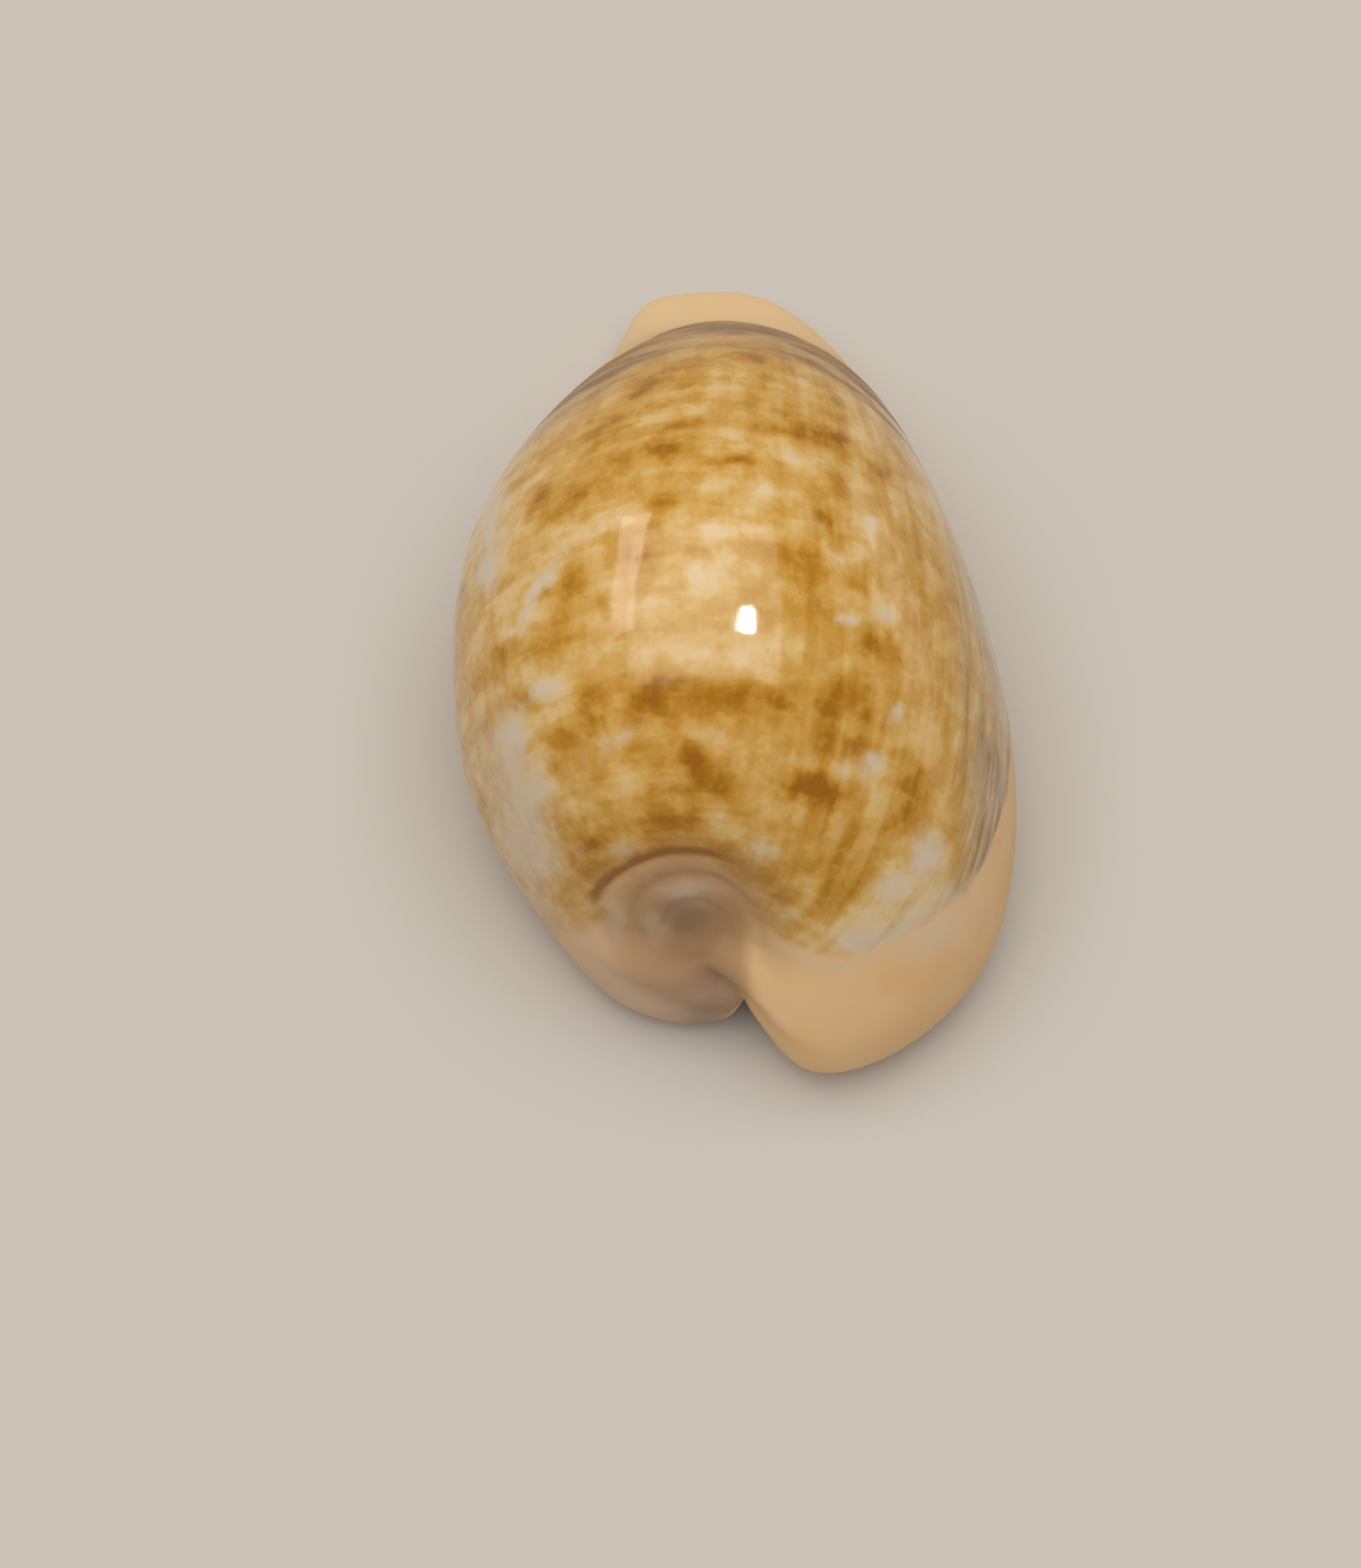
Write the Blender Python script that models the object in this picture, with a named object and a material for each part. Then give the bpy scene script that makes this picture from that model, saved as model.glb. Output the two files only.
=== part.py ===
"""A cowrie shell, grown as one piece and modelled as one closed solid.

Its glossy back is a dome, and its base is flat enough to stand on. A toothed slit, the aperture, runs the whole
length of the base and leads into the hollow last whorl, which wraps round a smaller inner whorl. Each end of the
slit leaves the shell as a canal: between two lobes at the wide rear end, and under a low rim at the narrow front.
The spire is sunk in a small pit above the rear lobes.

Axes: +Y points to the narrow front end, +X to the outer lip and +Z up over the back. The base lies on z = 0 and
the origin is under the middle of the shell.
"""

import bmesh
import bpy
import numpy as np

# ---------------------------------------------------------------- driving dimensions

LENGTH = 0.095  # metres, from the tip of the outer rear lobe to the front rim

# All that follows is drawn in hundredths of the length. A rail is a line along the shell, from the notch at the
# top of the rear canal to the notch of the front canal, given as x, y, z control points of a smooth curve.

RIGHT_MARGIN = [
    (2.2, -43.2, 9), (5.3, -47, 7), (9.3, -51.3, 6), (18, -49.4, 6.5), (27.9, -41.6, 7), (32.5, -30, 8),
    (32.7, -15, 9), (28.9, 0, 12.5), (23.6, 15, 14), (18.7, 27, 12), (14.7, 36.5, 9.5), (10.5, 43.5, 7.5),
    (5, 48.2, 7), (0, 47.5, 3.5),
]
LEFT_MARGIN = [
    (2.2, -43.2, 9), (-0.5, -44.7, 7), (-6, -44.2, 6.5), (-13.4, -42.4, 7.5), (-21.6, -32.2, 12), (-28.9, -23, 18),
    (-30.4, -10, 22), (-29.5, 4, 22.5), (-23.9, 16, 21), (-17, 26.6, 15), (-14.2, 35.8, 8.8), (-12, 43, 7),
    (-8.6, 49.9, 6.5), (0, 47.5, 3.5),
]
CREST = [
    (2.2, -43.2, 9), (1.2, -43.5, 13), (-0.5, -42.6, 18.5), (-2.5, -41, 26), (-3, -37, 36), (-2.5, -28, 46),
    (-2, -14, 52.5), (-1.5, 1, 51.5), (-0.5, 15, 45), (0, 26, 36), (-0.5, 33.5, 25), (-1, 38.5, 15),
    (-1, 46, 9.5), (-0.5, 49.8, 7), (0, 47.5, 3.5),
]
BASE_LINE = [
    (2.2, -43.2, 9), (2.2, -44.3, 5), (2.2, -42, 0.8), (2, -37, 0), (1.9, -28, -0.2), (2.2, -17, -0.2),
    (2.6, -6, -0.2), (2.7, 6, -0.2), (2.4, 17, -0.2), (1.6, 27, -0.15), (0.7, 35, -0.1), (0.2, 41, 0.2),
    (0, 45.8, 0.9), (0, 47.5, 3.5),
]
APERTURE_ROOF = [
    (2.2, -43.2, 9), (2.2, -41.5, 8.8), (2.2, -38, 8), (2, -33, 7.2), (1.9, -26, 7), (2.2, -16, 7),
    (2.6, -6, 7), (2.7, 6, 7), (2.4, 16, 7), (1.6, 25.5, 6.8), (0.7, 33, 6.4), (0.2, 39, 5.8), (0, 44, 5),
    (0, 47.5, 3.5),
]

# The aperture: half its width along the same line, and the rounding of its lips.
APERTURE_HALF_WIDTH = [0.6, 2.1, 2.5, 2.4, 2.5, 2.7, 3, 3.2, 3.4, 3.7, 4, 3.8, 3, 1.5]
LIP_RADIUS = 2.0
WALL_LEAN = 0.5

# The teeth are ridges across both lips, left standing between grooves.
TOOTH_PITCH = 3.3
TOOTH_DEPTH = 0.75
TOOTH_REACH = {"right": 6.5, "left": 5.0}
TOOTH_STAGGER = 1.2

# The hollow of the last whorl: how far it reaches to the right, to the left and up, along the same line.
HOLLOW_RIGHT = [0, 1, 3, 17, 26, 28.6, 27.6, 24.6, 20, 15, 10, 5.5, 3, 0]
HOLLOW_LEFT = [0, -1, -2, -11, -20, -25.3, -27, -25.5, -21, -14.5, -9, -5, -3, 0]
HOLLOW_TOP = [9, 9, 9.5, 27, 41.5, 48.5, 49.6, 47, 41, 32.5, 20.5, 10.5, 5.6, 3.5]

# Its section, as shares of that width and height: the floor on the right, the arch from right to left, the floor
# on the left, and then the outline of the inner whorl back to the aperture.
RIGHT_FLOOR = [(0.36, 0), (0.76, 0), (0.97, 0.09)]
ARCH = [
    (0.97, 0.3), (0.88, 0.52), (0.7, 0.74), (0.42, 0.92), (0, 1), (-0.42, 0.94), (-0.71, 0.8), (-0.91, 0.6),
    (-1, 0.36), (-0.97, 0.15),
]
LEFT_FLOOR = [(0.84, 0.04)]
INNER_WHORL = [(0.66, 0.06), (0.64, 0.3), (0.5, 0.5), (0.27, 0.57), (0.07, 0.47), (0, 0.28), (0, 0.1)]

# The rear end: the pit that holds the spire, and the valley that leads down from it to the notch, steep under the
# outer lobe and gentle towards the inner one.
PIT_CENTRE = (-4, 21.5)
PIT_RADIUS = (10.6, 12.6)  # across and up
PIT_DEPTH = 3.2
SPIRE_TURNS = 2.8  # how many times its seam goes round inside the pit
SPIRE_STEP = 0.3
VALLEY_HEIGHTS = [9, 11, 13, 15, 19]
VALLEY_X = [2.8, 1.7, -0.1, -2.6, -5]
VALLEY_DEPTH = [0.3, 1.9, 2.6, 1.8, 0.2]
VALLEY_INNER_SIDE = 4.0
VALLEY_OUTER_SIDE = [1.3, 1.3, 1.5, 2.4, 4]
OUTER_RIDGE = 1.0

# How a line round the shell is shared out: the outside, then one lip's rounding and one wall's height.
OUTSIDE_SHARE = 0.6
ROUNDING_SHARE = 0.045
WALL_SHARE = 0.03

# The mesh: steps along and round before it is thinned out, and the triangles kept.
STEPS_ALONG = 280
STEPS_ROUND = 160
TRIANGLES = 9400

COLOUR = (0.61, 0.42, 0.19, 1)
ROUGHNESS = 0.14
FLAT_WITHIN = 0.00004  # metres: what is lower than this lies on the ground


# ---------------------------------------------------------------- curves


def spline(points, along):
    """A cubic B-spline through the first and last points and near the others, read at shares of its length."""
    points = np.array(points, float)
    if points.ndim == 1:
        return spline(points[:, None], along)[:, 0]
    return spline_of_rows(np.repeat(points[:, None], len(along), axis=1), along)


def spline_of_rows(rows, along):
    """The same curve with a control row for each point to read, so that each reads a curve of its own."""
    rows = np.concatenate([(2 * rows[0] - rows[1])[None], rows, (2 * rows[-1] - rows[-2])[None]])
    spans = len(rows) - 3
    place = np.clip(along, 0, 1) * spans
    span = np.minimum(place.astype(int), spans - 1)
    f = (place - span)[:, None]
    each = np.arange(len(along))
    a, b, c, d = (rows[span + k, each] for k in range(4))
    weights = (1 - f) ** 3, 3 * f**3 - 6 * f**2 + 4, -3 * f**3 + 3 * f**2 + 3 * f + 1, f**3
    return (weights[0] * a + weights[1] * b + weights[2] * c + weights[3] * d) / 6


def ramp(start, end, value):
    """0 at start and 1 at end, smooth at both."""
    f = np.clip((value - start) / (end - start), 0, 1)
    return f * f * (3 - 2 * f)


def spline_at(value, places, amounts):
    """An amount stated at a few places, read in between and smoothed."""
    spread = (places[-1] - places[0]) / 16
    return sum(np.interp(value + shift * spread, places, amounts) for shift in (-2, -1, 0, 1, 2)) / 5


def mix(a, b, share):
    return a + (b - a) * share


def soft_min(a, b):
    """The smaller of two positive numbers, with the change from one to the other rounded."""
    return (a**-4.0 + b**-4.0) ** -0.25


# ---------------------------------------------------------------- the outside


def outer_form(t, across, upper):
    """Points of the outside without its aperture: t from rear to front, across from -1 left to 1 right."""
    right = spline(RIGHT_MARGIN, t)
    left = spline(LEFT_MARGIN, t)
    middle = np.where(upper[:, None], spline(CREST, t), spline(BASE_LINE, t))
    across = across[:, None]
    share = (1 + across) / 2
    margin = mix(left, right, share)
    bow = np.sqrt(np.maximum(1 - across**2, 0))
    rise = np.where(upper[:, None], bow, 1 - (1 - bow) ** 2.2)
    half_width = mix(middle[:, :1] - left[:, :1], right[:, :1] - middle[:, :1], share)
    x = middle[:, :1] + half_width * across
    y = mix(middle[:, 1:2], margin[:, 1:2], across**2)
    z = mix(margin[:, 2:], middle[:, 2:], rise)
    return np.concatenate([x, y, z], axis=1)


def rear_relief(points):
    """How far the rear of the outside sinks in at each point; below 0 it stands out."""
    x, y, z = points.T
    right = (x - PIT_CENTRE[0]) / PIT_RADIUS[0]
    up = (z - PIT_CENTRE[1]) / PIT_RADIUS[1]
    radius = np.hypot(right, up)
    open_below = ramp(-0.65, -0.1, up)
    pit = PIT_DEPTH * np.exp(-(radius**4)) * open_below
    seam = radius * SPIRE_TURNS + np.arctan2(up, right) / (2 * np.pi)
    line = (0.5 + 0.5 * np.cos(2 * np.pi * seam)) ** 3 * ramp(1.1, 0.8, radius) * ramp(0, 0.3, radius)
    pit += SPIRE_STEP * line * open_below
    offset = x - spline_at(z, VALLEY_HEIGHTS, VALLEY_X)
    side = np.where(offset < 0, VALLEY_INNER_SIDE, spline_at(z, VALLEY_HEIGHTS, VALLEY_OUTER_SIDE))
    valley = spline_at(z, VALLEY_HEIGHTS, VALLEY_DEPTH) * np.exp(-((offset / side) ** 2)) * ramp(8, 12, z)
    ridge = OUTER_RIDGE * np.exp(-(((offset - 4.2) / 2.8) ** 2)) * ramp(9, 14, z) * ramp(24, 16, z)
    return (pit + valley - ridge) * ramp(-30, -36, y)


# ---------------------------------------------------------------- the whole surface


class Section:
    """What a line round the shell needs to know at each place along it."""

    def __init__(self, t):
        self.t = t
        span = spline(RIGHT_MARGIN, t)[:, 0] - spline(LEFT_MARGIN, t)[:, 0]
        self.half_span = span / 2 + 1e-6
        self.gap = soft_min(spline(APERTURE_HALF_WIDTH, t), 0.5 * self.half_span)
        self.rounding = soft_min(LIP_RADIUS, 0.3 * self.half_span)
        inward = spline(APERTURE_ROOF, t) - spline(BASE_LINE, t)
        self.depth = np.linalg.norm(inward, axis=1) + 1e-9
        self.inward = inward / self.depth[:, None]
        self.teeth = ramp(0.05, 0.15, t) * ramp(0.985, 0.9, t) * TOOTH_DEPTH

    def wall(self, side, turn, up):
        """A point of a lip or wall: turn from 0 to a right angle round the lip, then up from 0 to 1."""
        distance = self.gap + self.rounding * (1 - np.sin(turn))
        across = np.clip(side * distance / self.half_span, -0.97, 0.97)
        points = outer_form(self.t, across, np.zeros_like(self.t, bool))
        rounding = np.minimum(self.rounding, self.depth)
        climb = rounding * (1 - np.cos(turn)) + np.maximum(self.depth - self.rounding, 0) * up
        points = points + self.inward * climb[:, None]
        points[:, 0] += side * up * WALL_LEAN * np.minimum(1, self.half_span / 10)
        return points, distance

    def hollow(self, v):
        """The hollow's surface: v from 0 at the top of the right wall to 1 at the top of the left one."""
        one = np.ones_like(self.t)
        right_wall, _ = self.wall(one, one * np.pi / 2, one)
        left_wall, _ = self.wall(-one, one * np.pi / 2, one)
        little = np.minimum(1, self.half_span / 8)
        roof = spline(APERTURE_ROOF, self.t)[:, 2]
        height = np.maximum(spline(HOLLOW_TOP, self.t) - roof, 0.7 * little)[:, None] * np.array([0, 0, 1])
        far_right = right_wall.copy()
        far_right[:, 0] = np.maximum(spline(HOLLOW_RIGHT, self.t), right_wall[:, 0] + 0.5 * little)
        far_left = left_wall.copy()
        far_left[:, 0] = np.minimum(spline(HOLLOW_LEFT, self.t), left_wall[:, 0] - 0.5 * little)
        whorl = mix(0.05, 1, ramp(0.17, 0.27, self.t) * ramp(0.86, 0.7, self.t))[:, None]
        ring = [right_wall]
        ring += [mix(right_wall, far_right, out) + up * height for out, up in RIGHT_FLOOR]
        ring += [mix(far_left, far_right, (1 + out) / 2) + up * height for out, up in ARCH]
        ring += [mix(left_wall, far_left, out) + up * height for out, up in LEFT_FLOOR]
        ring += [mix(left_wall, far_left, out) + up * height * whorl for out, up in INNER_WHORL]
        ring += [left_wall]
        return spline_of_rows(np.array(ring), v)


def surface(t, s):
    """The shell's whole skin: t from rear notch to front notch, s once round.

    s starts at the right lip, goes over the back to the left lip, in past it, round the hollow and out again.
    """
    section = Section(t)
    lip_angle = np.arccos(np.clip((section.gap + section.rounding) / section.half_span, 0, 0.95))
    angle = mix(-lip_angle, np.pi + lip_angle, np.clip(s / OUTSIDE_SHARE, 0, 1))
    lower = np.sin(angle) < 0
    outside = outer_form(t, np.cos(angle), ~lower)
    sink = rear_relief(outside) * ~lower * ramp(0.01, 0.08, t)
    outside = outside + sink[:, None] * np.array([0, 0.95, -0.3])

    on_outside = s <= OUTSIDE_SHARE
    past_left = s - OUTSIDE_SHARE
    on_left = np.where(on_outside, np.cos(angle) < 0, past_left < (1 - OUTSIDE_SHARE) / 2)
    side = np.where(on_left, -1.0, 1.0)
    past_lip = np.where(on_left, past_left, 1 - s)
    turn = np.clip(past_lip / ROUNDING_SHARE, 0, 1) * np.pi / 2
    up = np.clip((past_lip - ROUNDING_SHARE) / WALL_SHARE, 0, 1)
    wall, wall_distance = section.wall(side, turn, up)
    skin = np.where(on_outside[:, None], outside, wall)

    distance = np.where(on_outside, np.abs(np.cos(angle)) * section.half_span, wall_distance)
    reach = np.minimum(np.where(on_left, TOOTH_REACH["left"], TOOTH_REACH["right"]), 0.4 * section.half_span)
    lip_edge = section.gap + section.rounding
    on_base = ramp(lip_edge + reach, section.gap + section.rounding / 2, distance) * lower
    phase = (skin[:, 1] + ~on_left * TOOTH_STAGGER) / TOOTH_PITCH
    groove = (0.5 - 0.5 * np.cos(2 * np.pi * phase)) * section.teeth * np.where(on_outside, on_base, 1 - up)
    turned = np.where(on_outside, 0, turn)
    skin[:, 0] += side * groove * np.sin(turned)
    skin += section.inward * (groove * np.cos(turned))[:, None]

    edge = ROUNDING_SHARE + WALL_SHARE
    in_hollow = (s > OUTSIDE_SHARE + edge) & (s < 1 - edge)
    v = (1 - edge - s) / (1 - 2 * edge - OUTSIDE_SHARE)
    skin = np.where(in_hollow[:, None], section.hollow(v), skin)
    skin[:, 2] = np.maximum(skin[:, 2], 0)
    return skin


# ---------------------------------------------------------------- building it in Blender


def clear_scene():
    for thing in list(bpy.data.objects):
        bpy.data.objects.remove(thing)


def full_skin(name):
    """A sphere whose poles are the two notches, with every vertex moved to its place on the shell."""
    ball = bmesh.new()
    bmesh.ops.create_uvsphere(ball, u_segments=STEPS_ROUND, v_segments=STEPS_ALONG, radius=1)
    at = np.array([vertex.co[:] for vertex in ball.verts])
    t = 1 - np.arccos(np.clip(at[:, 2], -1, 1)) / np.pi
    s = (np.arctan2(at[:, 1], at[:, 0]) / (2 * np.pi)) % 1
    skin = surface(t, s)
    skin *= LENGTH / np.ptp(skin[:, 1])
    for vertex, place in zip(ball.verts, skin):
        vertex.co = place
    bmesh.ops.recalc_face_normals(ball, faces=ball.faces)
    mesh = bpy.data.meshes.new(name)
    ball.to_mesh(mesh)
    ball.free()
    return mesh


def thinned(mesh, name):
    """The same skin with its triangles gathered where it bends most."""
    guide = bpy.data.objects.new(name + "_full", mesh)
    bpy.context.scene.collection.objects.link(guide)
    thin = guide.modifiers.new("thin", "DECIMATE")
    thin.use_collapse_triangulate = True
    thin.ratio = TRIANGLES / sum(len(face.vertices) - 2 for face in mesh.polygons)
    bpy.context.view_layer.update()
    evaluated = guide.evaluated_get(bpy.context.evaluated_depsgraph_get())
    result = bpy.data.meshes.new_from_object(evaluated)
    result.name = name
    bpy.data.objects.remove(guide)
    return result


def seated(mesh):
    """Moved so that it lies on z = 0 with the origin under its middle, its rest strips exactly flat."""
    at = np.array([vertex.co[:] for vertex in mesh.vertices])
    low, high = at.min(axis=0), at.max(axis=0)
    at -= [(low[0] + high[0]) / 2, (low[1] + high[1]) / 2, low[2]]
    at[at[:, 2] < FLAT_WITHIN, 2] = 0
    mesh.vertices.foreach_set("co", at.ravel())
    mesh.update()
    return mesh


def shell_material():
    material = bpy.data.materials.new("polished_shell")
    material.use_nodes = True
    finish = material.node_tree.nodes["Principled BSDF"]
    finish.inputs["Base Color"].default_value = COLOUR
    finish.inputs["Roughness"].default_value = ROUGHNESS
    finish.inputs["Metallic"].default_value = 0
    return material


def main():
    clear_scene()
    parts = bpy.data.collections.new("cowrie_shell")
    bpy.context.scene.collection.children.link(parts)
    mesh = seated(thinned(full_skin("shell_skin"), "shell"))
    mesh.shade_smooth()
    mesh.materials.append(shell_material())
    parts.objects.link(bpy.data.objects.new("shell", mesh))


main()
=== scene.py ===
# %% [markdown]
# # A glazed cowrie shell
#
# A cowrie is one piece of natural porcelain. The animal wraps its soft mantle over the outside and
# polishes it layer by layer, so a finished shell needs three things from us: a smooth closed form, a
# pattern that looks laid down under a clear glaze, and gloss. We build them in that order, and then set
# up a plain studio.

import math

import bmesh
import bpy
import numpy as np
from mathutils import Matrix, Vector, noise


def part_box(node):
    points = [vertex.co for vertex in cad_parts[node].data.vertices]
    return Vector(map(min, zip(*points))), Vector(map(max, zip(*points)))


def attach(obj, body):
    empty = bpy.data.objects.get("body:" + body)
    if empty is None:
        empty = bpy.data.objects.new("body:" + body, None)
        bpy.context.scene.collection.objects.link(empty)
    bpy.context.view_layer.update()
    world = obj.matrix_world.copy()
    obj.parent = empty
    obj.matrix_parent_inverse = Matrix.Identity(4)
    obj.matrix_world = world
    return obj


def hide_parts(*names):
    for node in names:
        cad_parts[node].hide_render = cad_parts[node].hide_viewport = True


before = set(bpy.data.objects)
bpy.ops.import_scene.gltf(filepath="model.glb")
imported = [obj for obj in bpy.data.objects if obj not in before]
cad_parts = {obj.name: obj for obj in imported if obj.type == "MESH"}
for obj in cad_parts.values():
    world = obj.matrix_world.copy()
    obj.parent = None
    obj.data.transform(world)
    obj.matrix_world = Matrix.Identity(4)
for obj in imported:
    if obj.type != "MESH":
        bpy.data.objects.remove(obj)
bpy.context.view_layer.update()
box_low, box_high = (np.array(corner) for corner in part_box("shell"))
box_size = box_high - box_low
print("the shell's box in millimetres:", np.round(box_size * 1000, 1))

# %% [markdown]
# ## Rails along the shell
#
# A cowrie has no straight line and no axis of symmetry, so neither a turned profile nor a mirrored half
# will do. We could sculpt it, but then nobody could read how it is made. Instead a few rails run from the
# notch at the rear end to the notch at the front: the right margin, the left margin, the crest of the
# back, the line under the base and the roof of the aperture. Every other point of the surface is worked
# out between them.
#
# All of them are drawn in hundredths of the shell's length: x to the right, y to the front, z up.

# %% The outline, the crest and the base
RIGHT_MARGIN = [
    (2.2, -43.2, 9), (5.3, -47, 7), (9.3, -51.3, 6), (18, -49.4, 6.5), (27.9, -41.6, 7), (32.5, -30, 8),
    (32.7, -15, 9), (28.9, 0, 12.5), (23.6, 15, 14), (18.7, 27, 12), (14.7, 36.5, 9.5), (10.5, 43.5, 7.5),
    (5, 48.2, 7), (0, 47.5, 3.5),
]
LEFT_MARGIN = [
    (2.2, -43.2, 9), (-0.5, -44.7, 7), (-6, -44.2, 6.5), (-13.4, -42.4, 7.5), (-21.6, -32.2, 12),
    (-28.9, -23, 18), (-30.4, -10, 22), (-29.5, 4, 22.5), (-23.9, 16, 21), (-17, 26.6, 15),
    (-14.2, 35.8, 8.8), (-12, 43, 7), (-8.6, 49.9, 6.5), (0, 47.5, 3.5),
]
CREST = [
    (2.2, -43.2, 9), (1.2, -43.5, 13), (-0.5, -42.6, 18.5), (-2.5, -41, 26), (-3, -37, 36),
    (-2.5, -28, 46), (-2, -14, 52.5), (-1.5, 1, 51.5), (-0.5, 15, 45), (0, 26, 36), (-0.5, 33.5, 25),
    (-1, 38.5, 15), (-1, 46, 9.5), (-0.5, 49.8, 7), (0, 47.5, 3.5),
]
BASE_LINE = [
    (2.2, -43.2, 9), (2.2, -44.3, 5), (2.2, -42, 0.8), (2, -37, 0), (1.9, -28, -0.2), (2.2, -17, -0.2),
    (2.6, -6, -0.2), (2.7, 6, -0.2), (2.4, 17, -0.2), (1.6, 27, -0.15), (0.7, 35, -0.1), (0.2, 41, 0.2),
    (0, 45.8, 0.9), (0, 47.5, 3.5),
]
APERTURE_ROOF = [
    (2.2, -43.2, 9), (2.2, -41.5, 8.8), (2.2, -38, 8), (2, -33, 7.2), (1.9, -26, 7), (2.2, -16, 7),
    (2.6, -6, 7), (2.7, 6, 7), (2.4, 16, 7), (1.6, 25.5, 6.8), (0.7, 33, 6.4), (0.2, 39, 5.8), (0, 44, 5),
    (0, 47.5, 3.5),
]
print(len(CREST), "points make the crest")

# %% [markdown]
# ## The aperture, its teeth and the hollow behind it
#
# The animal lived in the last whorl, which wraps round a smaller inner one, and it came out through a
# long slit in the base. Both lips carry teeth. A Boolean could cut the slit, but it would leave hard
# edges that then need a bevel. Here the skin simply turns in over a rounded lip, goes round the hollow
# and comes out over the other lip, so it is one closed surface without a single cut.

# %% Sizes of the aperture, the teeth and the hollow
APERTURE_HALF_WIDTH = [0.6, 2.1, 2.5, 2.4, 2.5, 2.7, 3, 3.2, 3.4, 3.7, 4, 3.8, 3, 1.5]
LIP_RADIUS = 2.0
WALL_LEAN = 0.5
TOOTH_PITCH = 3.3
TOOTH_DEPTH = 0.75
TOOTH_REACH = {"right": 6.5, "left": 5.0}
TOOTH_STAGGER = 1.2

HOLLOW_RIGHT = [0, 1, 3, 17, 26, 28.6, 27.6, 24.6, 20, 15, 10, 5.5, 3, 0]
HOLLOW_LEFT = [0, -1, -2, -11, -20, -25.3, -27, -25.5, -21, -14.5, -9, -5, -3, 0]
HOLLOW_TOP = [9, 9, 9.5, 27, 41.5, 48.5, 49.6, 47, 41, 32.5, 20.5, 10.5, 5.6, 3.5]
RIGHT_FLOOR = [(0.36, 0), (0.76, 0), (0.97, 0.09)]
ARCH = [
    (0.97, 0.3), (0.88, 0.52), (0.7, 0.74), (0.42, 0.92), (0, 1), (-0.42, 0.94), (-0.71, 0.8),
    (-0.91, 0.6), (-1, 0.36), (-0.97, 0.15),
]
LEFT_FLOOR = [(0.84, 0.04)]
INNER_WHORL = [(0.66, 0.06), (0.64, 0.3), (0.5, 0.5), (0.27, 0.57), (0.07, 0.47), (0, 0.28), (0, 0.1)]

# %% [markdown]
# ## The rear end
#
# Seen from behind, a cowrie hides its spire in a shallow pit, and a valley leads from the pit down to the
# notch between the two lobes. These are low reliefs on top of the form, so each is a smooth hill or
# hollow added to it.

# %% Sizes of the pit and the valley
PIT_CENTRE = (-4, 21.5)
PIT_RADIUS = (10.6, 12.6)  # across and up
PIT_DEPTH = 3.2
SPIRE_TURNS = 2.8  # how many times its seam goes round inside the pit
SPIRE_STEP = 0.3
VALLEY_HEIGHTS = [9, 11, 13, 15, 19]
VALLEY_X = [2.8, 1.7, -0.1, -2.6, -5]
VALLEY_DEPTH = [0.3, 1.9, 2.6, 1.8, 0.2]
VALLEY_INNER_SIDE = 4.0
VALLEY_OUTER_SIDE = [1.3, 1.3, 1.5, 2.4, 4]
OUTER_RIDGE = 1.0

# %% [markdown]
# ## Curves
#
# A cubic B-spline never overshoots its control points, which keeps porcelain free of wobbles. `ramp` is
# the smooth step that shaders use too.

# %% Curve helpers
def spline(points, along):
    """A cubic B-spline from the first point to the last, near the others, read at shares of its length."""
    points = np.array(points, float)
    if points.ndim == 1:
        return spline(points[:, None], along)[:, 0]
    return spline_of_rows(np.repeat(points[:, None], len(along), axis=1), along)


def spline_of_rows(rows, along):
    """The same curve with a control row for each point to read, so that each reads a curve of its own."""
    rows = np.concatenate([(2 * rows[0] - rows[1])[None], rows, (2 * rows[-1] - rows[-2])[None]])
    spans = len(rows) - 3
    place = np.clip(along, 0, 1) * spans
    span = np.minimum(place.astype(int), spans - 1)
    f = (place - span)[:, None]
    each = np.arange(len(along))
    a, b, c, d = (rows[span + k, each] for k in range(4))
    weights = (1 - f) ** 3, 3 * f**3 - 6 * f**2 + 4, -3 * f**3 + 3 * f**2 + 3 * f + 1, f**3
    return (weights[0] * a + weights[1] * b + weights[2] * c + weights[3] * d) / 6


def ramp(start, end, value):
    """0 at start and 1 at end, smooth at both."""
    f = np.clip((value - start) / (end - start), 0, 1)
    return f * f * (3 - 2 * f)


def spline_at(value, places, amounts):
    """An amount stated at a few places, read in between and smoothed."""
    spread = (places[-1] - places[0]) / 16
    return sum(np.interp(value + shift * spread, places, amounts) for shift in (-2, -1, 0, 1, 2)) / 5


def mix(a, b, share):
    return a + (b - a) * share


def soft_min(a, b):
    """The smaller of two positive numbers, with the change from one to the other rounded."""
    return (a**-4.0 + b**-4.0) ** -0.25

# %% [markdown]
# ## The outside
#
# Across the shell, the back rises from margin to margin like half an ellipse, and the base turns under
# quickly and then stays flat. Both use the same rule with a different bow.

# %% The outside without its aperture
BASE_BOW = 2.2  # a higher power makes the base turn under more quickly


def outer_form(t, across, upper):
    """Points of the outside without its aperture: t from rear to front, across from -1 left to 1 right."""
    right = spline(RIGHT_MARGIN, t)
    left = spline(LEFT_MARGIN, t)
    middle = np.where(upper[:, None], spline(CREST, t), spline(BASE_LINE, t))
    across = across[:, None]
    share = (1 + across) / 2
    margin = mix(left, right, share)
    bow = np.sqrt(np.maximum(1 - across**2, 0))
    rise = np.where(upper[:, None], bow, 1 - (1 - bow) ** BASE_BOW)
    half_width = mix(middle[:, :1] - left[:, :1], right[:, :1] - middle[:, :1], share)
    x = middle[:, :1] + half_width * across
    y = mix(middle[:, 1:2], margin[:, 1:2], across**2)
    z = mix(margin[:, 2:], middle[:, 2:], rise)
    return np.concatenate([x, y, z], axis=1)


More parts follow.
